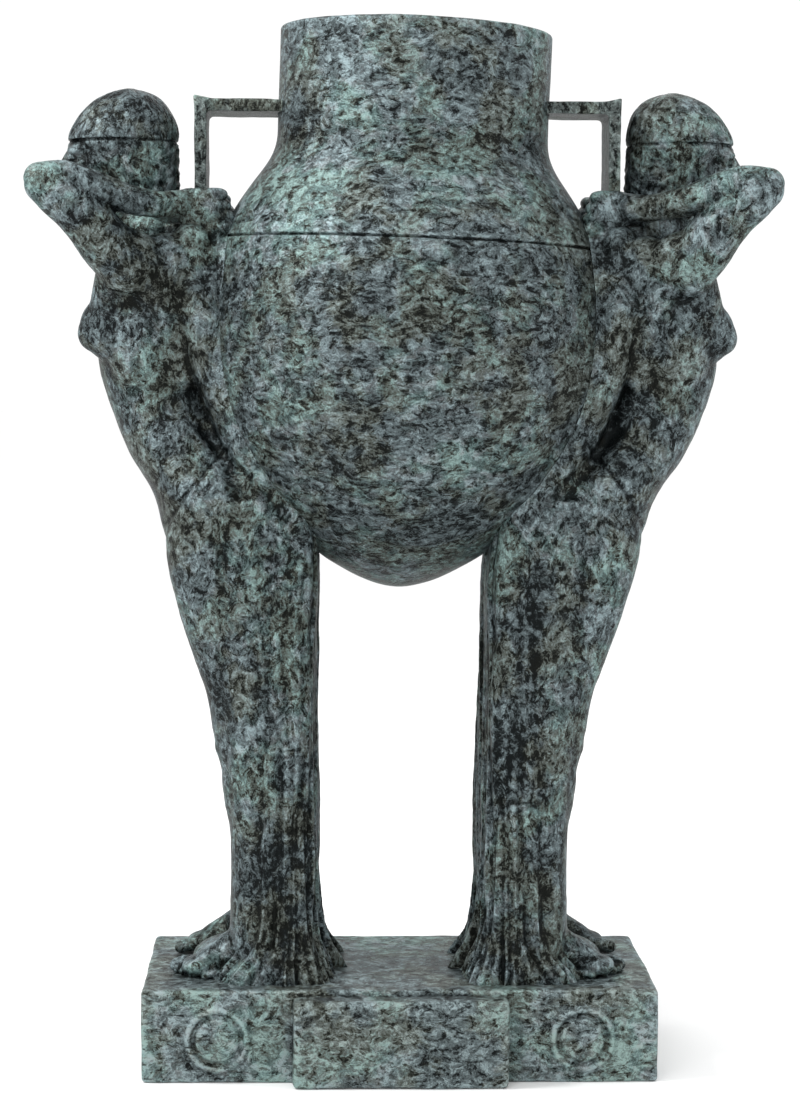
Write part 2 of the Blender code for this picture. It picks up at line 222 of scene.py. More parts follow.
def makeCamera():
    lens = bpy.data.cameras.new("camera")
    lens.sensor_fit = "HORIZONTAL"
    lens.sensor_width = shot["sensor"]
    lens.lens = shot["lens"]
    camera = bpy.data.objects.new("camera", lens)
    look = Vector(shot["aim"]) - Vector(shot["place"])
    turn = look.to_track_quat("-Z", "Y").to_matrix().to_4x4()
    camera.matrix_world = (Matrix.Translation(shot["place"]) @ turn
                           @ Matrix.Rotation(math.radians(shot["roll"]), 4, "Z"))
    bpy.context.scene.collection.objects.link(camera)
    bpy.context.scene.camera = camera


def makeStudio(paper):
    bm = bmesh.new()
    bmesh.ops.create_circle(bm, cap_ends=True, segments=96, radius=studio["floorRadius"])
    floor = pieceFrom(bm, "floor")
    floor.data.materials.append(paper)
    for name, place, aim, size, watts in studio["lights"]:
        lamp = bpy.data.lights.new(name, "AREA")
        lamp.shape = "DISK"
        lamp.size = size
        lamp.energy = watts
        light = bpy.data.objects.new(name, lamp)
        light.visible_camera = False
        light.location = place
        light.rotation_euler = (Vector(aim) - Vector(place)).to_track_quat("-Z", "Y").to_euler()
        bpy.context.scene.collection.objects.link(light)
    world = bpy.data.worlds.new("sky")
    world.use_nodes = True
    world.node_tree.nodes["Background"].inputs["Color"].default_value = (1.0, 1.0, 1.0, 1.0)
    world.node_tree.nodes["Background"].inputs["Strength"].default_value = studio["sky"]
    bpy.context.scene.world = world
    bpy.context.scene.view_settings.view_transform = "Standard"


# Shader maths

class Wire:
    # an output socket that takes part in Python expressions
    def __init__(self, finish, socket):
        self.finish = finish
        self.socket = socket

    def maths(self, operation, first, second):
        return self.finish.node("ShaderNodeMath", {"operation": operation}, {0: first, 1: second})

    def __add__(self, other):
        return self.maths("ADD", self, other)

    def __radd__(self, other):
        return self.maths("ADD", other, self)

    def __sub__(self, other):
        return self.maths("SUBTRACT", self, other)

    def __rsub__(self, other):
        return self.maths("SUBTRACT", other, self)

    def __mul__(self, other):
        return self.maths("MULTIPLY", self, other)

    def __rmul__(self, other):
        return self.maths("MULTIPLY", other, self)

    def __abs__(self):
        return self.maths("ABSOLUTE", self, 0.0)


class Finish:
    # a material with the few kinds of nodes that these finishes use
    def __init__(self, name, roughness, metallic):
        self.material = bpy.data.materials.new(name)
        self.material.use_nodes = True
        self.tree = self.material.node_tree
        self.shader = self.tree.nodes["Principled BSDF"]
        self.shader.inputs["Roughness"].default_value = roughness
        self.shader.inputs["Metallic"].default_value = metallic

    def node(self, kind, settings, sockets, output=0):
        made = self.tree.nodes.new(kind)
        for name, value in settings.items():
            setattr(made, name, value)
        for name, value in sockets.items():
            if isinstance(value, Wire):
                self.tree.links.new(value.socket, made.inputs[name])
            else:
                made.inputs[name].default_value = value
        return Wire(self, made.outputs[output])

    def feed(self, name, wire):
        self.tree.links.new(wire.socket, self.shader.inputs[name])

    def grain(self, place, scale, detail=3.0, rough=0.55, twist=0.0, output=0):
        return self.node("ShaderNodeTexNoise", {},
                         {"Vector": place, "Scale": scale, "Detail": detail, "Roughness": rough,
                          "Distortion": twist}, output)

    def ease(self, value, low, high):
        # 0 below low and 1 above high
        return self.node("ShaderNodeMapRange", {"interpolation_type": "SMOOTHSTEP"},
                         {"Value": value, "From Min": low, "From Max": high})

    def blend(self, share, first, second):
        paint = [value if isinstance(value, Wire) else (*value, 1.0) for value in (first, second)]
        return self.node("ShaderNodeMix", {"data_type": "RGBA"}, {0: share, 6: paint[0], 7: paint[1]}, 2)

    def vector(self, operation, first, second):
        return self.node("ShaderNodeVectorMath", {"operation": operation}, {0: first, 1: second})


# Finishes

bronze = {
    "dark": (0.006, 0.0075, 0.0075),
    "deep": (0.026, 0.031, 0.031),
    "body": (0.086, 0.104, 0.104),
    "pale": (0.285, 0.350, 0.350),
    "metallic": 0.45,
    "specular": 0.2,
    "edge": (0.40, 0.42, 0.42),
    "smooth": 0.33,        # roughness where dark
    "rough": 0.14,         # and what pale patina adds
    "bump": 0.6,
    "bumpDepth": 0.0011,
    "tints": {             # the colours are multiplied by these in patches
        "teal": (0.84, 1.05, 1.02),
        "mauve": (1.06, 0.97, 1.02),
        "blue": (0.94, 1.01, 1.07),
        "brown": (1.07, 0.98, 0.82),
    },
    "grains": {            # scale, octaves, roughness and distortion of each noise
        "drift": (48.0, 2.0),
        "cloud": (11.0, 2.0),
        "cloudB": (21.0, 2.0, 0.6),
        "dab": (88.0, 4.0, 0.66, 0.2),
        "dabB": (205.0, 3.0, 0.66, 0.3),
        "pit": (135.0, 3.0, 0.7),
        "curl": (125.0, 2.5, 0.55, 0.8),
        "speck": (560.0, 2.0, 0.65),
    },
    "drift": 0.016,        # how far the dabs wander, in metres
    "shares": {            # what each adds to the tone
        "dab": 0.36,
        "dabB": 0.34,
        "vein": 0.20,
        "speck": 0.20,
        "pit": -0.38,
        "cloud": 0.9,
        # painted shade: how much the hollows darken
        "hollowShade": -0.7,
        # painted light: the tone raised towards the top
        "above": 0.18,
    },
}


coats = {                  # stretch lengthens the dabs, seed shifts the noise
    # above: the heights over which painted light makes the urn's neck lighter
    "urn": {"stretch": (0.7, 0.7, 1.1), "lighter": -0.06, "above": (0.74, 0.88)},
    "strap": {"stretch": (1.0, 1.0, 0.8), "olive": 0.4, "seed": 2.0},
    "plinth": {"stretch": (0.75, 0.8, 1.1), "olive": 0.1, "seed": 5.0, "lighter": 0.22},
    "left": {"stretch": (1.0, 1.0, 0.8), "seed": 1.0, "lighter": -0.08},
    "right": {"stretch": (1.0, 1.0, 0.8), "seed": 3.0, "lighter": -0.06},
}


def patina(name, stretch, olive=0.0, seed=0.0, lighter=0.0, above=None):
    # mottled green over dark bronze; dabs run along the way that stretch makes long
    tints, grains, shares = bronze["tints"], bronze["grains"], bronze["shares"]
    paint = Finish(name, 0.5, bronze["metallic"])
    paint.shader.inputs["Specular IOR Level"].default_value = bronze["specular"]
    paint.shader.inputs["Specular Tint"].default_value = (*bronze["edge"], 1.0)
    where = paint.node("ShaderNodeTexCoord", {}, {}, 3)
    laid = paint.node("ShaderNodeMapping", {"vector_type": "POINT"},
                      {"Vector": where, "Location": (seed, seed * 0.7, seed * 0.3)})
    drawn = paint.node("ShaderNodeMapping", {"vector_type": "POINT"}, {"Vector": laid, "Scale": stretch})
    drift = paint.vector("SUBTRACT", paint.grain(drawn, *grains["drift"], output=1), (0.5, 0.5, 0.5))
    drawn = paint.vector("ADD", drawn, paint.vector("MULTIPLY", drift, (bronze["drift"],) * 3))
    # large clouds, middling dabs, dark pits, curling veins, fine specks
    cloud = paint.grain(laid, *grains["cloud"])
    cloudB = paint.grain(laid, *grains["cloudB"])
    dab = paint.grain(drawn, *grains["dab"])
    dabB = paint.grain(drawn, *grains["dabB"])
    pit = paint.grain(drawn, *grains["pit"])
    curl = paint.grain(drawn, *grains["curl"])
    speck = paint.grain(laid, *grains["speck"])
    hollowShade = paint.node("ShaderNodeAttribute", {"attribute_name": "hollowShade"}, {}, 2)
    # tone from black to pale ridges, with painted shade darkening the hollows
    vein = 1.0 - paint.ease(abs(curl - 0.5), 0.0, 0.030)
    tone = paint.ease(dab, 0.41, 0.59) * shares["dab"] + paint.ease(dabB, 0.40, 0.60) * shares["dabB"]
    tone = tone + vein * shares["vein"] + paint.ease(speck, 0.38, 0.62) * shares["speck"]
    tone = tone + paint.ease(pit, 0.54, 0.60) * shares["pit"]
    tone = tone + (cloud - 0.5) * shares["cloud"] + (hollowShade - 0.5) * shares["hollowShade"] + lighter
    # painted light: the tone rises with height, lighter towards the top
    if above:
        height = paint.node("ShaderNodeSeparateXYZ", {}, {"Vector": where}, 2)
        tone = tone + paint.ease(height, *above) * shares["above"]
    # patches of each tint
    teal = paint.ease(cloud + dabB * 0.6, 0.74, 0.92)
    mauve = paint.ease(cloudB + dab * 0.5, 0.73, 0.88) * 0.85
    blue = paint.ease(dabB * 0.5 + cloudB - cloud * 0.4, 0.52, 0.66) * 0.8
    bare = 1.0 - paint.ease(tone, 0.2, 0.8) * 0.8
    brown = paint.ease(pit * 0.4 - cloudB + dab * 0.3, -0.20, -0.06) * bare + olive
    tint = paint.blend(teal, (1.0, 1.0, 1.0), tints["teal"])
    tint = paint.blend(mauve, tint, tints["mauve"])
    tint = paint.blend(blue, tint, tints["blue"])
    tint = paint.blend(brown, tint, tints["brown"])
    colour = paint.blend(paint.ease(tone, 0.02, 0.32), bronze["dark"], bronze["deep"])
    colour = paint.blend(paint.ease(tone, 0.22, 0.56), colour, bronze["body"])
    colour = paint.blend(paint.ease(tone, 0.50, 1.22), colour, bronze["pale"])
    paint.feed("Base Color", paint.vector("MULTIPLY", colour, tint))
    paint.feed("Roughness", bronze["smooth"] + paint.ease(tone, 0.0, 1.0) * bronze["rough"])
    bump = paint.node("ShaderNodeBump", {},
                      {"Strength": bronze["bump"], "Distance": bronze["bumpDepth"], "Height": tone})
    paint.feed("Normal", bump)
    return paint.material


def paperFinish():
    paint = Finish("paper", 0.9, 0.0)
    paint.shader.inputs["Base Color"].default_value = (*studio["paper"], 1.0)
    return paint.material


# The urn

urnSize = {
    "height": 0.551,
    "belly": 0.200,        # radii
    "neck": 0.134,
    "neckLength": 0.103,
    "wall": 0.007,
    "lip": 0.0035,
    "lineWidth": 0.0036,
    "lineDepth": 0.0022,
    "lean": 1.8,           # degrees towards +X
    "pivot": 0.18,         # share of its height about which it leans
    "around": 300,
    "gap": 0.0004,         # left free between it and its neighbours
}

unit = 0.877 / 870         # the figures' stations are in 870ths of their height
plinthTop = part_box("plinth")[1].z
figureBack = urnSize["belly"] - 116 * unit
urnTip = plinthTop + 379 * unit
leanPivot = Vector((0, 0, urnTip + urnSize["pivot"] * urnSize["height"]))
leanTan = math.tan(math.radians(urnSize["lean"]))


def bend(p0, p1, p2, p3, count):
    # points along a cubic curve, short of its end
    t = np.arange(count)[:, None] / count
    p0, p1, p2, p3 = (np.array(p) for p in (p0, p1, p2, p3))
    start = (1 - t) ** 3 * p0 + 3 * (1 - t) ** 2 * t * p1
    return (start + 3 * (1 - t) * t * t * p2 + t ** 3 * p3).tolist()


def urnOutline(inset, counts):
    # foot to belly, belly to shoulder, shoulder to neck, neck; a count of points for each
    belly, neck = urnSize["belly"] - inset, urnSize["neck"] - inset
    body = urnSize["height"] - urnSize["neckLength"]
    shoulder = neck + 0.25 * (belly - neck)
    line = bend((0, inset), (0.30 * belly, inset), (belly, 0.23 * body), (belly, 0.536 * body), counts[0])
    line += bend((belly, 0.536 * body), (belly, 0.73 * body), (shoulder + 0.067 * body, 0.82 * body),
                 (shoulder, 0.905 * body), counts[1])
    line += bend((shoulder, 0.905 * body), (shoulder - 0.018 * body, 0.931 * body),
                 (neck, 0.955 * body), (neck, body), counts[2])
    top = urnSize["height"] - urnSize["lip"]
    line += [(neck, body + (top - body) * i / counts[3]) for i in range(counts[3])]
    return line


def withLine(outline):
    # one thin line scored round the shoulder
    height = 0.763 * (urnSize["height"] - urnSize["neckLength"])
    half = urnSize["lineWidth"] / 2
    kept = [p for p in outline if abs(p[1] - height) > half * 1.6]
    place = next(i for i, p in enumerate(kept) if p[1] > height)
    (r0, z0), (r1, z1) = kept[place - 1], kept[place]
    radius = r0 + (r1 - r0) * (height - z0) / (z1 - z0)
    lean = (r1 - r0) / (z1 - z0)
    cutIn = [(radius - lean * half * 1.3, height - half * 1.3),
             (radius - lean * half, height - half),
             (radius - urnSize["lineDepth"], height - half * 0.25),
             (radius - urnSize["lineDepth"], height + half * 0.25),
             (radius + lean * half - 0.0004, height + half),
             (radius + lean * half * 1.3, height + half * 1.3)]
    return kept[:place] + cutIn + kept[place:]


def leaning():
    return (Matrix.Translation(leanPivot) @ Matrix.Rotation(math.radians(urnSize["lean"]), 4, "Y")
            @ Matrix.Translation(-leanPivot) @ Matrix.Translation((0, 0, urnTip)))


def makeUrn(finish):
    top, neck, lip = urnSize["height"], urnSize["neck"], urnSize["lip"]
    wall = urnSize["wall"]
    rim = []
    steps = 12
    for i in range(steps + 1):
        angle = math.radians(180 * i / steps)
        rim.append((neck - wall / 2 + wall / 2 * math.cos(angle), top - lip + lip * math.sin(angle)))
    inside = urnOutline(wall, (24, 10, 5, 4))
    outline = withLine(urnOutline(0.0, (64, 44, 12, 14))) + rim + inside[::-1]
    bm = bmesh.new()
    turned(bm, outline, urnSize["around"])
    mesh = bpy.data.meshes.new("urn")
    bm.to_mesh(mesh)
    bm.free()
    undulate(mesh, [(0.075, 0.0009), (0.022, 0.00035)])
    mesh.transform(leaning())
    markHollowShade(mesh, 10, 0.0012)
    putInPlace(mesh, "urnBody", "urn", finish)


def urnSolid(grow):
    # the urn filled in and a little larger, to cut its neighbours back from it
    line = urnOutline(-grow, (40, 24, 8, 2))
    above = urnSize["height"] + 0.01
    bm = bmesh.new()
    turned(bm, line + [(line[-1][0], above), (0.0, above)], 160)
    bm.transform(leaning())
    return pieceFrom(bm, "urnCutter")


# The strap handles

strap = {
    "thick": 0.012,
    "wide": 0.072,
    "belowRim": 0.070,
    "flare": 0.004,        # of the lip over the bend
    "out": 119,            # its centre, in the figures' stations
    "foot": 738,
    "grain": 0.0013,
    "gap": 0.0002,         # left free in the grip
}

strapTop = urnTip + urnSize["height"] - strap["belowRim"]
strapOut = figureBack + strap["out"] * unit
strapFoot = plinthTop + strap["foot"] * unit
strapShift = 0.45 * leanTan * (strapTop - leanPivot.z)


def strapBlock(side, grow):
    # from inside the neck level outwards, then down into the hands
    half = strap["wide"] / 2 + grow
    outer = strapOut + strap["thick"] / 2 + grow
    inner = strapOut - strap["thick"] / 2 - grow
    low, high = strapTop - strap["thick"] - grow, strapTop + grow
    start, foot = urnSize["neck"] * 0.8, strapFoot - grow
    corners = [(start, low), (inner - 0.0025, low), (inner, low - 0.0025), (inner, foot), (outer, foot),
               (outer, high - 0.01), (outer + 0.001, high + strap["flare"]),
               (inner - strap["flare"], high + 0.0005), (start, high)]
    bm = bmesh.new()
    face = bm.faces.new([bm.verts.new((side * x + strapShift, -half, z)) for x, z in corners])
    made = bmesh.ops.extrude_face_region(bm, geom=[face], use_keep_orig=True)["geom"]
    far = [part for part in made if isinstance(part, bmesh.types.BMVert)]
    bmesh.ops.translate(bm, vec=(0, 2 * half, 0), verts=far)
    bmesh.ops.triangulate(bm, faces=bm.faces)
    return lump(bm)


def makeHandle(name, node, side, finish, solid):
    mesh = fuse([strapBlock(side, 0.0)], strap["grain"], 4)
    undulate(mesh, [(0.030, 0.0006), (0.009, 0.00025)])
    mesh = cut(mesh, solid)
    markHollowShade(mesh, 8, 0.0008)
    putInPlace(mesh, name, node, finish)


# The plinth

plinthSize = {
    "wingHalf": 0.1208,    # half depth of the wings
    "blockHalf": 0.104,    # half width of the middle block
    "drop": 0.005,         # the block's top lies this much lower
    "eased": 0.005,        # rounding of the block's edges
    "roundel": 0.0325,
    "relief": 0.0066,
    "roundelUp": 0.47,     # share of the plinth's height
    "grain": 0.0016,
    "triangles": 150000,
}


def makePlinth(finish):
    low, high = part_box("plinth")
    deep, half, eased = plinthSize["wingHalf"], plinthSize["blockHalf"], plinthSize["eased"]
    clay = [boxLump((low.x, -deep, 0), (high.x, deep, high.z), eased * 0.6),
            boxLump((-half, -high.y, 0), (half, high.y, high.z - plinthSize["drop"]), eased)]
    r, h = plinthSize["roundel"], plinthSize["relief"]
    outline = [(0, 0.95 * h), (0.40 * r, 0.9 * h), (0.60 * r, 0.7 * h), (0.70 * r, 0.0),
               (0.78 * r, -0.1 * h), (0.84 * r, 0.6 * h), (0.94 * r, 0.6 * h), (1.02 * r, 0.0),
               (1.02 * r, -2 * h), (0, -2 * h)]
    wing = (high.x + half) / 2
    for side in (-1, 1):
        for face in (-1, 1):
            seal = bmesh.new()
            turned(seal, outline, 64)
            seal.transform(Matrix.Translation((side * wing, face * deep, high.z * plinthSize["roundelUp"]))
                           @ Matrix.Rotation(-face * math.pi / 2, 4, "X"))
            clay.append(lump(seal))
    mesh = fuse(clay, plinthSize["grain"], 6)
    undulate(mesh, [(0.060, 0.0011), (0.018, 0.0005)])
    points = readPoints(mesh)
    points[:, 2] = np.clip(points[:, 2], 0.0, None)
    writePoints(mesh, points)
    mesh = thinned(mesh, plinthSize["triangles"])
    markHollowShade(mesh, 12, 0.0012)
    putInPlace(mesh, "plinthBlock", "plinth", finish)


# The figures, in stations of (out from the back, sideways, up)

figure = {
    "grain": 1.35,         # of the fine clay, in stations
    "bodyGrain": 2.4,
    "triangles": 172000,
    "bow": 0.0085,         # how far both bodies bow to the viewer's right at the waist
    "waist": 565,          # its station
    "sink": 0.0015,        # how far hems and feet stand into the plinth
}


def flow(rows, steps):
    # a smooth run through the rows
    rows = np.array(rows, float)
    way = np.concatenate([[0], np.cumsum(np.linalg.norm(np.diff(rows[:, :3], axis=0), axis=1))])
    slope = np.gradient(rows, way, axis=0)
    at = np.linspace(0, way[-1], steps + 1)
    i = np.clip(np.searchsorted(way, at, side="right") - 1, 0, len(rows) - 2)
    span = (way[i + 1] - way[i])[:, None]
    t = (at - way[i])[:, None] / span
    return ((2 * t ** 3 - 3 * t ** 2 + 1) * rows[i] + (t ** 3 - 2 * t ** 2 + t) * span * slope[i]
            + (3 * t ** 2 - 2 * t ** 3) * rows[i + 1] + (t ** 3 - t ** 2) * span * slope[i + 1])


def sleeve(clay, around, along, place):
    # a flat grid rolled into a closed sleeve; place(turn, row) gives each point
    bm = bmesh.new()
    grid = bmesh.ops.create_grid(bm, x_segments=around, y_segments=along, size=1.0)["verts"]
    left = min(v.co.x for v in grid)
    span = -2 * left
    for vert in grid:
        vert.co = place((vert.co.x - left) / span, round((vert.co.y - left) / span * along))
    bmesh.ops.remove_doubles(bm, verts=grid, dist=0.0002)
    clay.append(lump(bm))


def limb(clay, rows, around=32, along=40, blunt=1.0, level=False):
    # rows of (out, side, up, radius) or (out, side, up, depth, width)
    run = flow([row if len(row) == 5 else (*row, row[3]) for row in rows], along)
    ahead = np.gradient(run[:, :3], axis=0)
    if level:
        ahead[:] = (0, 0, 1)
    ahead /= np.linalg.norm(ahead, axis=1)[:, None]
    across = np.array((0.0, 1.0, 0.0)) - ahead * ahead[:, 1:2]
    across /= np.linalg.norm(across, axis=1)[:, None]
    outward = np.cross(across, ahead)

    def place(turn, row):
        i = min(max(row - 1, 0), along)
        if row == 0 or row == along + 2:
            return run[i, :3]
        c, s = math.cos(2 * math.pi * turn), math.sin(2 * math.pi * turn)
        c, s = math.copysign(abs(c) ** blunt, c), math.copysign(abs(s) ** blunt, s)
        return run[i, :3] + outward[i] * (run[i, 3] * c) + across[i] * (run[i, 4] * s)

    sleeve(clay, around, along + 2, place)


def ball(clay, centre, radii, pitch=0.0, yaw=0.0):
    bm = bmesh.new()
    turn = (Matrix.Translation(centre) @ Matrix.Rotation(math.radians(yaw), 4, "Z")
            @ Matrix.Rotation(math.radians(pitch), 4, "Y") @ Matrix.Diagonal((*radii, 1.0)))
    segments = int(min(max(2.5 * max(radii), 16), 48))
    bmesh.ops.create_uvsphere(bm, u_segments=segments, v_segments=segments // 2, radius=1.0, matrix=turn)
    clay.append(lump(bm))


def roundLimb(clay, rows, **more):
    limb(clay, rows, **more)
    for row in (rows[0], rows[-1]):
        ball(clay, row[:3], (row[3],) * 3)


def sided(rows, side):
    # the rows on one side of the body
    return [(row[0], side * row[1], *row[2:]) for row in rows]


# up, middle, half depth, half width of the trunk
trunkRows = [(398, 104, 12, 10), (404, 102, 30, 34), (416, 99, 47, 64), (434, 100, 54, 82),
             (469, 105, 60, 87), (514, 135, 58, 75), (554, 155, 55, 63), (594, 168, 54, 61),
             (632, 176, 46, 66), (668, 179, 41, 74), (696, 181, 35, 78), (723, 180, 25, 44)]


def bodyClay(clay):
    limb(clay, [(mid, 0, up, deep, wide) for up, mid, deep, wide in trunkRows], 64, 80, 0.87, True)
    roundLimb(clay, [(178, 0, 706, 27), (186, 0, 740, 24), (192, 0, 776, 26)])
    ball(clay, (70, 0, 6), (54, 44, 24))                                         # between the feet
    for side in (-1, 1):
        ball(clay, (202, side * 35, 634), (35, 28, 34), -4)                      # breast
        ball(clay, (217, side * 37, 629), (23, 20, 20), 10)
        roundLimb(clay, sided([(206, 42, 650, 21), (199, 58, 678, 20), (190, 72, 702, 21)], side))
        ball(clay, (176, side * 36, 630), (42, 37, 74), 6)                       # ribs
        ball(clay, (184, side * 75, 698), (33, 24, 32), -35)                     # shoulder
        roundLimb(clay, sided([(140, 50, 590, 16), (150, 58, 645, 20), (168, 68, 694, 24)], side))
        ball(clay, (150, side * 60, 692), (32, 24, 34))                          # shoulder blade
        roundLimb(clay, sided([(124, 52, 716, 20), (118, 58, 660, 26), (100, 60, 600, 29),
                               (76, 58, 545, 31), (56, 54, 490, 34)], side))     # back under the mantle
        limb(clay, sided([(70, 44, 470, 46, 43), (70, 45, 400, 46, 43), (62, 46, 320, 42, 42),
                          (55, 46, 250, 37, 41), (50, 46, 180, 36, 40), (49, 46, 110, 34, 38),
                          (50, 46, 50, 34, 38), (50, 46, 20, 34, 40)], side), 48, 70, 0.85, True)
        roundLimb(clay, sided([(207, 9, 713, 5), (200, 40, 721, 5), (188, 70, 716, 6)], side))
        roundLimb(clay, sided([(207, 7, 714, 5), (200, 17, 742, 6), (190, 27, 775, 7)], side))
        ball(clay, (84, side * 44, 430), (62, 42, 88))                           # hip
        ball(clay, (124, side * 52, 492), (36, 26, 34), -40)
        limb(clay, sided([(108, 44, 452, 40, 40), (108, 44, 434, 42, 42), (98, 44, 377, 41, 41),
                        (84, 44, 325, 38, 38), (75, 43, 279, 32, 34), (72, 43, 249, 30, 31),
                        (68, 43, 219, 28, 29), (67, 43, 205, 26, 27)], side), 48, 60)
        limb(clay, sided([(66, 43, 240, 26, 27), (64, 44, 189, 28, 29), (59, 45, 154, 27, 27),
                        (57, 46, 108, 21, 21), (57, 47, 72, 17, 16), (57, 48, 40, 18, 15),
                        (60, 48, 22, 17, 14)], side), 48, 60)
        ball(clay, (84, side * 43, 250), (19, 17, 20))                           # knee
        ball(clay, (91, side * 43, 226), (9, 9, 12))
        ball(clay, (50, side * 45, 176), (27, 25, 46))                           # calf
        limb(clay, sided([(183, 72, 690, 28, 27), (202, 84, 712, 27, 26), (226, 95, 742, 24, 23),
                        (248, 103, 761, 22, 20), (259, 105, 770, 20, 17)], side), 40, 44)
        ball(clay, (259.5, side * 105, 768), (18.5, 16, 18.5))                   # elbow
        limb(clay, sided([(44, 48, 16, 14, 14), (64, 48, 24, 19, 17), (88, 50, 20, 18, 18),
                        (112, 53, 12, 11, 19)], side), 40, 30)
        ball(clay, (44, side * 48, 15), (15, 14, 15))                            # heel
        ball(clay, (80, side * 50, 27), (28, 16, 17), 28)                        # instep
        ball(clay, (113, side * 54, 10), (19, 23, 10))
        for ankle in (-15, 13):
            ball(clay, (59, side * 48 + ankle, 50), (9, 5, 9))
        ball(clay, (234.5, side * 16, 806), (11, 15, 6))                         # brow
        ball(clay, (231, side * 20, 784), (15, 12, 14))                          # cheek
    ball(clay, (160, 0, 727), (36, 44, 26), -20)                                 # nape
    ball(clay, (188, 0, 811), (50, 41, 52))                                      # skull
    ball(clay, (206, 0, 812), (39.5, 33, 20))                                    # forehead
    ball(clay, (216, 0, 790), (32, 30, 42), 6)                                   # face
    ball(clay, (222, 0, 767), (20, 21, 20))                                      # jaw
    ball(clay, (240, 0, 757), (9, 10, 9))                                        # chin


def faceClay(clay):
    roundLimb(clay, [(241, 0, 807, 4.5), (248.5, 0, 795, 4.5), (255.5, 0, 784, 4.8)])  # nose
    ball(clay, (247, 0, 771.5), (6.5, 10.5, 3.2), -12)                           # lips
    ball(clay, (246.5, 0, 766), (6.3, 9, 3.4), 12)
    for side in (-1, 1):
        ball(clay, (228, side * 37, 629), (10, 9.5, 9.5))                        # nipple
        ball(clay, (250, side * 5, 782.5), (5, 3.6, 3.6))                        # nostrils
        ball(clay, (238.5, side * 16, 798), (7.4, 8.6, 5.6), 0, side * -18)      # closed lids


def armClay(clay, side):
    roundLimb(clay, sided([(262, 105, 773, 15.5), (244, 102, 774, 17), (216, 93, 767, 16.5),
                           (180, 77, 756, 14), (150, 62, 752, 13), (134, 53, 753, 14)], side), along=60)
    ball(clay, (262.5, side * 105, 770.5), (14, 14.5, 15.5))
    ball(clay, (118, side * 52, 749), (22, 10, 20))                              # back of the hand
    roundLimb(clay, sided([(142, 46, 757, 7), (132, 34, 763, 6), (126, 22, 766, 5)], side))
    for i in range(4):                                                         # fingers, the first on top
        level, knuckle = 763 - 10.4 * i, 101 - 3.6 * i
        roundLimb(clay, sided([(120, 54, level, 5.6), (knuckle, 48, level, 6.4),
                               (knuckle - 2, 34, level - 1, 5.6), (knuckle + 5, 22, level - 2, 4.8)], side),
                  around=20, along=24)
        ball(clay, (knuckle - 2, side * 48.5, level), (6.4, 6.2, 5.4))


def toeClay(clay, side):
    for i in range(5):                                                         # the great toe inwards
        spread, reach = side * (39 + 8.2 * i), 128 - 1.82 * i * i + i
        size = 8.6 if i == 0 else 6.0 - 0.3 * i
        roundLimb(clay, [(reach - 14, spread, size * 1.15, size * 0.86),
                         (reach, spread, size * 1.05, size * 0.8),
                         (reach + 9 - i, spread, size * 0.75, size * 0.78)], around=20, along=16)


def hairClay(clay):
    dome = bmesh.new()
    bmesh.ops.create_uvsphere(dome, u_segments=64, v_segments=40, radius=1.0)
    bmesh.ops.bisect_plane(dome, geom=dome.verts[:] + dome.edges[:] + dome.faces[:], plane_co=(0, 0, 0.06),
                           plane_no=(0, 0, 1), clear_inner=True)
    bmesh.ops.holes_fill(dome, edges=[e for e in dome.edges if e.is_boundary])
    lean = Matrix.Shear("XY", 4, (-0.15, 0.0))                                 # back towards the urn
    dome.transform(Matrix.Translation((192, 0, 813.5)) @ lean @ Matrix.Diagonal((53.8, 47.5, 54, 1.0)))
    clay.append(lump(dome))
    limb(clay, [(189, 0, 824, 50.5, 45.5), (188, 0, 812, 50, 46), (181, 0, 800, 43.5, 45.5),
                (175, 0, 785, 38, 44), (172, 0, 768, 34, 39), (172, 0, 756, 30, 33)], 64, 30, 0.95, True)
    for row, (up, size) in enumerate(((801, 8.5), (783, 10), (766, 8.5))):     # rolled curls round the nape
        reach = 43.8 - size
        for i in range(9):
            angle = math.radians(180 + (i - 4 + 0.5 * (row % 2)) * 19)
            out, across = 181 + reach * math.cos(angle), (reach + 0.5) * math.sin(angle)
            ball(clay, (out, across, up + 2.5 * math.sin(i * 2.3)), (size, size, size * 0.95))


slabDepth, slabWidth = 28, 90            # a typical half depth and half width of the mantle

# up, inner face, outer face, half width and depth of folds of the mantle
mantleRows = [(-6, -19, 98, 98, 7.0), (10, -10, 86, 96, 7.0), (24, -2, 72, 92, 6.5), (42, 2, 62, 89, 6.0),
              (90, 3, 57, 88, 5.0), (225, 2, 54, 88, 3.6), (334, 2, 60, 87, 2.8), (409, 2, 62, 85, 2.4),
              (454, 8, 66, 84, 2.2), (504, 24, 92, 81, 2.2), (555, 44, 112, 79, 2.2), (635, 66, 136, 78, 2.2),
              (690, 72, 146, 74, 2.0), (715, 72, 150, 62, 1.8), (735, 74, 152, 46, 1.6)]


def slab(count):
    # a rounded slab's edge with evenly spaced points, as shares of its half depth and half width
    a = np.linspace(0, 2 * math.pi, 4001)
    x = np.sign(np.cos(a)) * np.abs(np.cos(a)) ** 0.55
    y = np.sign(np.sin(a)) * np.abs(np.sin(a)) ** 0.35
    way = np.concatenate([[0], np.cumsum(np.hypot(np.diff(x) * slabDepth, np.diff(y) * slabWidth))])
    even = np.linspace(0, way[-1], count + 1)
    return np.interp(even, way, x), np.interp(even, way, y)


def foldAt(x, y, up):
    # long folds with crisp valleys, breaking up towards the hem
    low = min(max((260 - up) / 220, 0.0), 1.0)
    sway = 2.2 * noise.noise((x * 0.05, y * 0.05, up / 150))
    wide = abs(noise.noise((x / 12 + sway * 0.25, y / 12 + sway * 0.25, up / 330)))
    fine = abs(noise.noise((x / 5 + sway * 0.4, y / 5, up / (150 - 95 * low) + 9)))
    return 2.2 * wide ** 0.75 - 0.5 + (1.0 + 1.1 * low) * fine


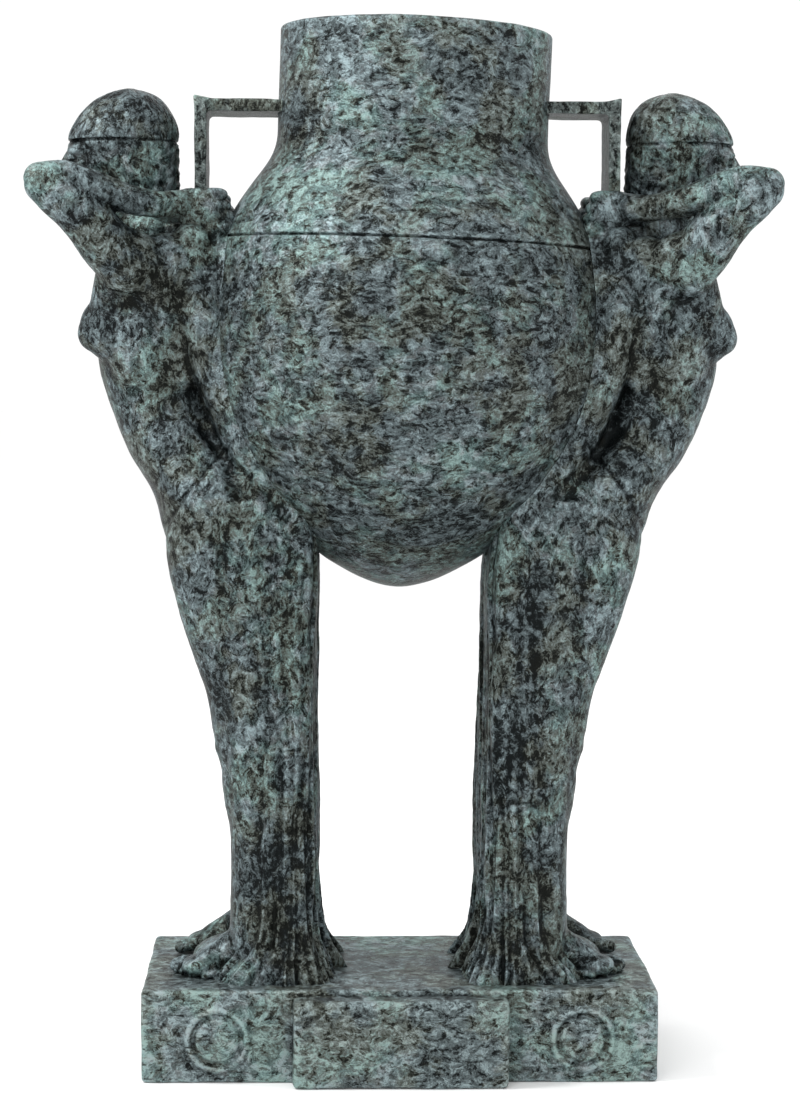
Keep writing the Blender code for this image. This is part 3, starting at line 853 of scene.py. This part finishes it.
def mantleClay(clay):
    around, along = ((420, 360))
    shareX, shareY = slab(around)
    run = flow([(0, 0, *row) for row in mantleRows], along)

    def place(turn, row):
        i = min(max(row - 1, 0), along)
        up, inner, outer, wide, depth = run[i, 2:]
        middle, half = (inner + outer) / 2, (outer - inner) / 2
        if row == 0 or row == along + 2:
            return middle, 0, up
        j = round(turn * around) % around
        x, y = shareX[j], shareY[j]
        lift = depth * foldAt(x * slabDepth, y * slabWidth, up)
        return middle + (half + lift) * x, (wide + lift * 0.8) * y, up

    sleeve(clay, around, along + 2, place)
    for side in (-1, 1):                                                       # strands drawn up to the hands
        for i in range(4):
            roundLimb(clay, sided([(100 + 5 * i, 48 + i, 734 - 2 * i, 4.0), (102 + 7 * i, 66, 700, 3.8),
                                   (94 + 9 * i, 78, 640, 3.2), (74 + 9 * i, 79, 575, 2.8),
                                   (46 + 9 * i, 80, 505, 2.2), (26 + 9 * i, 82, 450, 1.6)], side),
                      around=16, along=110)
        ball(clay, (108, side * 50, 726), (13, 11, 12))                          # cloth bunched in the grip


def distanceTo(points, path):
    # how far each point is from a line through the stations
    best = np.full(len(points), 1e9)
    path = np.array(path, float)
    for start, end in zip(path, path[1:]):
        along = end - start
        share = np.clip(((points - start) @ along) / (along @ along), 0, 1)
        best = np.minimum(best, np.linalg.norm(points - start - share[:, None] * along, axis=1))
    return best


def scored(points, path, width, depth, axes=(0, 1, 2), mask=1.0):
    # a soft groove along the path, alike on both sides
    folded = points.copy()
    folded[:, 1] = np.abs(folded[:, 1])
    away = distanceTo(folded[:, axes], np.array(path, float)[:, axes])
    return -depth * np.exp(-(away / width) ** 2) * mask


def detail(mesh):
    # what a modelling tool would add on the fused clay
    points, normals = readPoints(mesh), readNormals(mesh)
    out, side, up = points.T
    across = np.abs(side)
    lift = scored(points, [(82, 0, 534), (104, 0, 508), (127, 0, 480), (150, 0, 446)], 2.6, 2.2, [0, 2],
                  (across > 38) * np.clip((out - 74) / 20, 0, 1))
    lift += scored(points, [(118, 0, 536), (98, 0, 512), (70, 0, 487), (44, 0, 463), (34, 0, 450)], 6.0, 3.6,
                   [0, 2], across > 50)
    lift += -3.0 * np.exp(-((out - 208) ** 2 + side ** 2 + (up - 548) ** 2) / 4.2 ** 2)
    lift += scored(points, [(222, 0, 615), (213, 0, 560)], 5.0, 1.0)
    lift += scored(points, [(253, 0, 769), (249, 11.5, 769.5)], 1.1, 1.5)
    lift += scored(points, [(247, 8, 795.5), (246, 16, 793.6), (238, 25, 795.5)], 1.0, 1.3)
    lift += scored(points, [(246, 8, 803), (245, 16, 804.5), (237, 25, 802)], 1.3, 1.0)
    lift -= 1.5 * np.exp(-((up - 815.8) / 1.3) ** 2) * (out > 130)
    # combed hair on the crown and waves below it
    crown = (up > 817) * np.clip((up - 817) / 6, 0, 1)
    turn = np.arctan2(side, out - 178)
    comb = np.array([noise.noise((11 * math.cos(a), 11 * math.sin(a), u / 60))
                     for a, u in zip(turn * crown, up)])
    lift += crown * 0.9 * comb
    wave = (up < 814) * (up > 758) * (out < 236 - (815 - up) * 0.8) * (out > 130) * (across < 52)
    lift += wave * 0.4 * np.sin(up * 0.7 + 3.2 * np.sin(out / 8) + 2.6 * np.sin(side / 7))
    lift += wave * 1.4 * grainOf(points, 10, 4.4)
    skin = grainOf(points, 16) * 0.5 + grainOf(points, 6, 8.1) * 0.22
    writePoints(mesh, points + normals * (lift + skin)[:, None])


def settled(mesh):
    # both bodies bow to the viewer's right, and what is near the urn follows its lean
    points = readPoints(mesh)
    waist = plinthTop + figure["waist"] * unit
    x, up = np.abs(points[:, 0]), points[:, 2]
    near = np.clip((figureBack + 145 * unit - x) / (40 * unit), 0, 1)
    follow = leanTan * np.maximum(up - waist, 0) * near
    points[:, 0] += np.maximum(figure["bow"] * np.exp(-((up - waist) / (140 * unit)) ** 2), follow)
    writePoints(mesh, points)


def makeFigures(finishes, solid):
    # both from one form, the left one mirrored, each cut back from the urn, its strap and the ground
    coarse = 1.0
    clay = []
    bodyClay(clay)
    body = fuse(clay, figure["bodyGrain"] * coarse, 14)
    print("body fused:", len(body.vertices))
    clay = [body]
    faceClay(clay)
    hairClay(clay)
    mantleClay(clay)
    for side in (-1, 1):
        armClay(clay, side)
        toeClay(clay, side)
    whole = fuse(clay, figure["grain"] * coarse, 2)
    print("figure fused:", len(whole.vertices))
    detail(whole)
    whole = thinned(whole, figure["triangles"])
    whole.transform(Matrix.Translation((figureBack, 0, plinthTop)) @ Matrix.Scale(unit, 4))
    ground = pieceFrom(boxLump((-1, -1, -0.2), (1, 1, plinthTop - figure["sink"])), "belowFeet")
    for name, node, side in (("leftFigure", "left_figure", -1), ("rightFigure", "right_figure", 1)):
        mesh = whole.copy()
        if side < 0:
            mesh.transform(Matrix.Scale(-1, 4, (1, 0, 0)))
            mesh.flip_normals()
        settled(mesh)
        grip = pieceFrom(strapBlock(side, strap["gap"]), name + "Grip")
        mesh = cut(mesh, ground, grip, solid)
        bpy.data.objects.remove(grip, do_unlink=True)
        markHollowShade(mesh, 24, 0.0022)
        putInPlace(mesh, name, node, finishes[side])
        print(name, "cut:", len(mesh.vertices))
    bpy.data.objects.remove(ground, do_unlink=True)


makeCamera()
makeStudio(paperFinish())
print("studio ready")
makeUrn(patina("urnPatina", **coats["urn"]))
solid = urnSolid(urnSize["gap"])
print("urn ready")
strapFinish = patina("strapPatina", **coats["strap"])
makeHandle("leftHandle", "left_handle", -1, strapFinish, solid)
makeHandle("rightHandle", "right_handle", 1, strapFinish, solid)
print("handles ready")
makePlinth(patina("plinthPatina", **coats["plinth"]))
print("plinth ready")
makeFigures({-1: patina("leftPatina", **coats["left"]), 1: patina("rightPatina", **coats["right"])}, solid)
bpy.data.objects.remove(solid, do_unlink=True)
print("figures ready")
